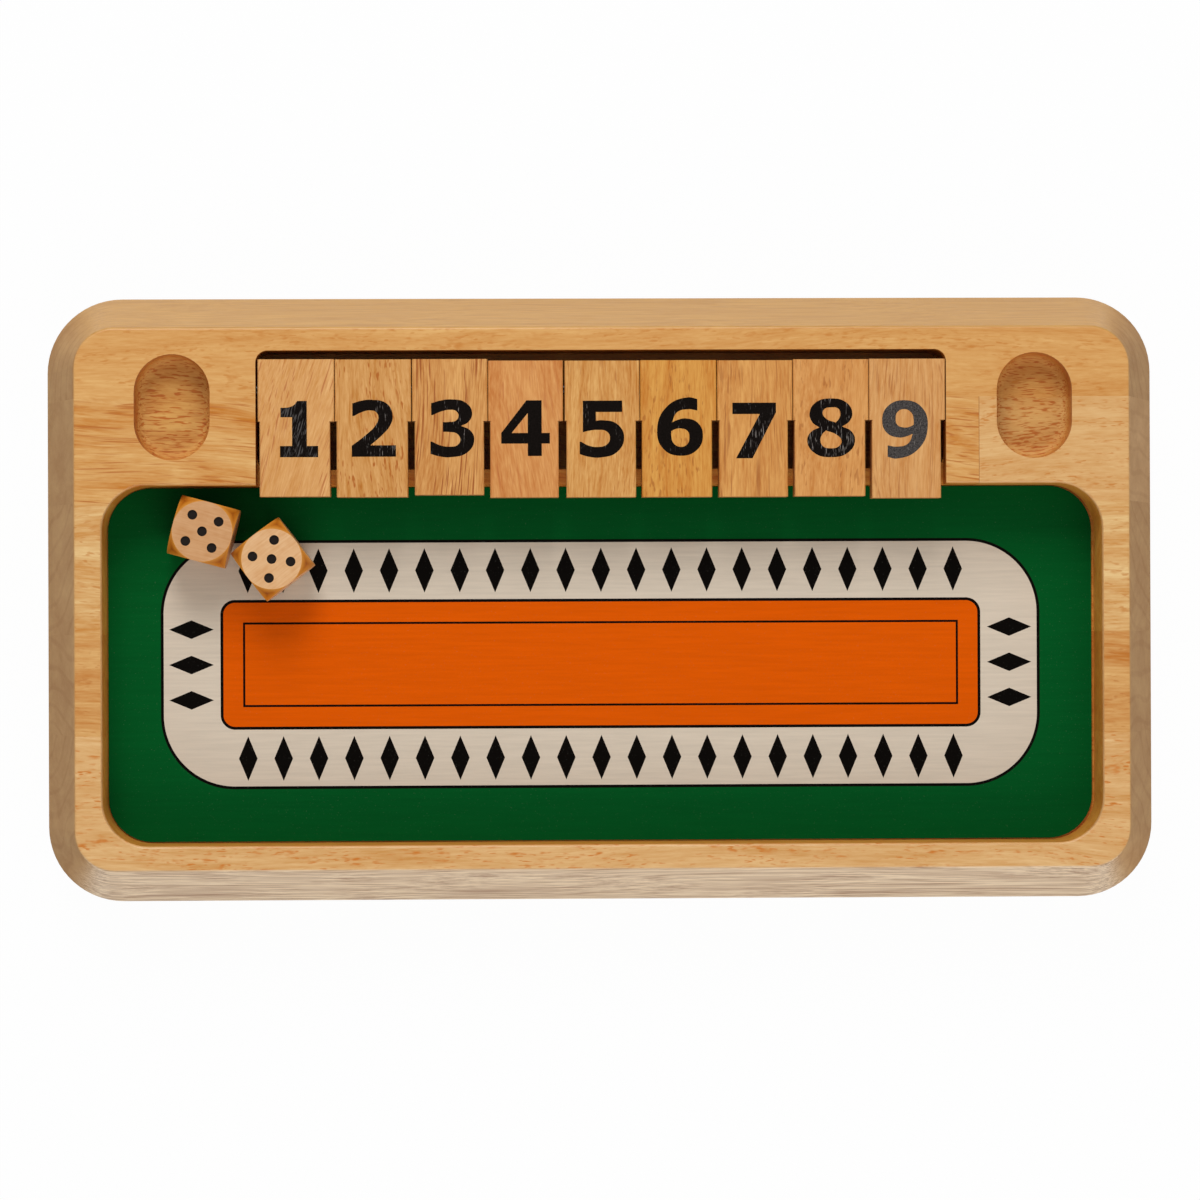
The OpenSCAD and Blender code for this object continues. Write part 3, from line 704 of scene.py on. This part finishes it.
# %% Lacquered birch
def birch(name, node, turn, light, dark):
    """A die's finish: pale faces, toasted corners and dark pips."""
    finish, tree, shader = new_finish(name, {"IOR": LACQUER_IOR})
    mm, farthest = die_axes(tree, node, turn)
    reach = add(tree, "VectorMath", {0: mm}, "Value", operation="LENGTH")
    fibre = grain_noise(tree, mm, (0.08, 1, 1), 2.2, 3.0, 0.6)
    patch = add(tree, "TexNoise", {"Vector": mm, "Scale": 0.35, "Detail": 2.0})
    figure = add(tree, "Math", {0: patch, 1: 0.4}, operation="MULTIPLY")
    figure = add(tree, "Math", {0: fibre, 1: 0.6, 2: figure}, operation="MULTIPLY_ADD")
    pale = add(tree, "ValToRGB", {"Fac": figure}, stops=[(0.35, light), (0.65, dark)])
    about_zero = add(tree, "Math", {0: patch, 1: 0.5}, operation="SUBTRACT")
    depth = add(tree, "Math", {0: about_zero, 1: 0.9, 2: farthest}, operation="MULTIPLY_ADD")
    depth = add(tree, "MapRange", {"Value": depth, "From Min": HALF_CUBE - 1.5, "From Max": HALF_CUBE})
    toast = add(tree, "ValToRGB", {"Fac": depth}, stops=TOAST)
    corner = add(tree, "MapRange", {"Value": reach, "From Min": BALL - 0.04, "From Max": BALL + 0.04},
                 interpolation_type="SMOOTHSTEP")
    colour = add(tree, "Mix", {0: corner, 6: pale, 7: toast}, 2, data_type="RGBA")
    pip = where(tree, 1.0, [("LESS_THAN", farthest, HALF_CUBE - 0.07), ("LESS_THAN", reach, BALL - 0.22)])
    colour = add(tree, "Mix", {0: pip, 6: colour, 7: srgb("#1c110a")}, 2, data_type="RGBA")
    rough = add(tree, "MapRange", {"Value": patch, "To Min": 0.30, "To Max": 0.45})
    bump = add(tree, "Bump", {"Height": fibre, "Strength": 0.15, "Distance": RELIEF})
    wire(tree, shader, {"Base Color": colour, "Roughness": rough, "Normal": bump})
    return finish


for node, (turn, light, dark) in DICE.items():
    give(node, birch("lacquered_birch_" + node, node, turn, light, dark))
    print(node, "is turned", turn, "degrees")

# %% [markdown]
# ## Floor, light and camera
# A product photographer lays such a board on a white sweep and lights it with a large soft lamp from
# behind, a weaker one from the front, and white walls all round. The floor is pale paint, a hair below
# the board, so that the two faces never lie in one plane. To the camera, and in reflections, it also
# glows a little, so that it reads as white while the object's soft shadow stays. From below it is clear,
# and it lets light through to a face that touches it, so that the underside can be looked at too.

# %% Floor
FLOOR_REACH, GAP = 3.0, 0.1 * MM
TOUCH = 0.5 * MM                               # a ray shorter than this starts on the underside
sheet = bmesh.new()
bmesh.ops.create_grid(sheet, x_segments=1, y_segments=1, size=FLOOR_REACH)
bmesh.ops.translate(sheet, verts=sheet.verts, vec=(0, 0, -GAP))
mesh = bpy.data.meshes.new("floor")
sheet.to_mesh(mesh)
sheet.free()
floor = bpy.data.objects.new("floor", mesh)
bpy.context.scene.collection.objects.link(floor)
print("floor laid", GAP / MM, "mm below the board")

# %% White paint
CAMERA_GLOW, MIRROR_GLOW = 0.97, 0.45          # how bright it is to the camera and in reflections
finish, tree, shader = new_finish("white_sweep", {"Base Color": srgb("#dcdcdc"), "Roughness": 0.9})
path = add(tree, "LightPath", out=None)
mirrored = add(tree, "Math", {0: path["Is Glossy Ray"], 1: path["Is Transmission Ray"]},
               operation="MAXIMUM")
mirrored = add(tree, "Math", {0: mirrored, 1: MIRROR_GLOW}, operation="MULTIPLY")
seen = add(tree, "Math", {0: path["Is Camera Ray"], 1: CAMERA_GLOW}, operation="MULTIPLY")
seen = add(tree, "Math", {0: seen, 1: mirrored}, operation="MAXIMUM")
glow = add(tree, "Emission", {"Color": (1, 1, 1, 1), "Strength": 1.0})
paint = add(tree, "MixShader", {0: seen, 1: shader.outputs[0], 2: glow})
touching = add(tree, "Math", {0: path["Ray Length"], 1: TOUCH}, operation="LESS_THAN")
behind = add(tree, "NewGeometry", out="Backfacing")
behind = add(tree, "Math", {0: behind, 1: touching}, operation="MAXIMUM")
one_way = add(tree, "MixShader", {0: behind, 1: paint, 2: add(tree, "BsdfTransparent")})
wire(tree, tree.nodes["Material Output"], {"Surface": one_way})
mesh.materials.append(finish)
print("floor painted")

# %% [markdown]
# The world is the white walls. To the camera they are plain white. In reflections they are grey, and
# darker overhead, as in a studio whose ceiling is unlit, so that the lacquer shines only at the edges.

# %% World
AMBIENT, HORIZON, ZENITH = 0.45, 0.65, 0.12    # strength on the object, and in reflections low and high
world = bpy.data.worlds.new("studio")
bpy.context.scene.world = world
world.use_nodes = True
tree = world.node_tree
path = add(tree, "LightPath", out=None)
mirrored = add(tree, "Math", {0: path["Is Glossy Ray"], 1: path["Is Transmission Ray"]},
               operation="MAXIMUM")
way = add(tree, "TexCoord", out="Generated")
height = add(tree, "SeparateXYZ", {0: way}, "Z")
ceiling = add(tree, "MapRange", {"Value": height, "From Min": 0.1, "From Max": 0.8, "To Min": HORIZON,
              "To Max": ZENITH})
strength = add(tree, "Mix", {0: mirrored, 2: AMBIENT, 3: ceiling})
strength = add(tree, "Mix", {0: path["Is Camera Ray"], 2: strength, 3: 1.0})
background = tree.nodes["Background"]
background.inputs["Color"].default_value = (1, 1, 1, 1)
wire(tree, background, {"Strength": strength})
print("world strength on the object:", AMBIENT)

# %% Lamps
def soft_lamp(name, place, size, power):
    """A square area lamp that looks at the middle of the board."""
    lamp = bpy.data.lights.new(name, "AREA")
    lamp.shape, lamp.size, lamp.energy = "SQUARE", size, power
    holder = bpy.data.objects.new(name, lamp)
    bpy.context.scene.collection.objects.link(holder)
    holder.location = place
    holder.rotation_euler = (-Vector(place)).to_track_quat("-Z", "Y").to_euler()


soft_lamp("rear_lamp", (-0.15, 0.95, 0.85), size=0.6, power=9.5)
soft_lamp("front_lamp", (0.25, -1.0, 0.75), size=0.9, power=6.2)
print("lamps set")

# %% [markdown]
# The camera hangs 1.2 m above the board, a little left of its middle, with a long lens. Its place and
# tilt make the corners of the board, the wells and the tiles land where they do in the photograph.

# %% Camera
PLACE, AIM, ROLL = Vector((-0.02778, -0.00458, 1.19863)), Vector((-0.00090, -0.00051, 0.028)), 0.0038
lens = bpy.data.cameras.new("camera")
lens.sensor_fit, lens.sensor_width, lens.lens = "HORIZONTAL", 36.0, 132.29
lens.clip_start, lens.clip_end = 0.05, 20.0
camera = bpy.data.objects.new("camera", lens)
bpy.context.scene.collection.objects.link(camera)
look = (AIM - PLACE).normalized()
right = look.cross(Vector((math.sin(ROLL), math.cos(ROLL), 0))).normalized()
above = right.cross(look)
camera.matrix_world = Matrix.Translation(PLACE) @ Matrix((right, above, -look)).transposed().to_4x4()
bpy.context.scene.camera = camera
bpy.context.scene.view_settings.view_transform = "Standard"
print("camera at", [round(c, 3) for c in PLACE])

# %% [markdown]
# Last, the view layer is updated, so that every part stands where it was put.

# %% Update the scene
bpy.context.view_layer.update()
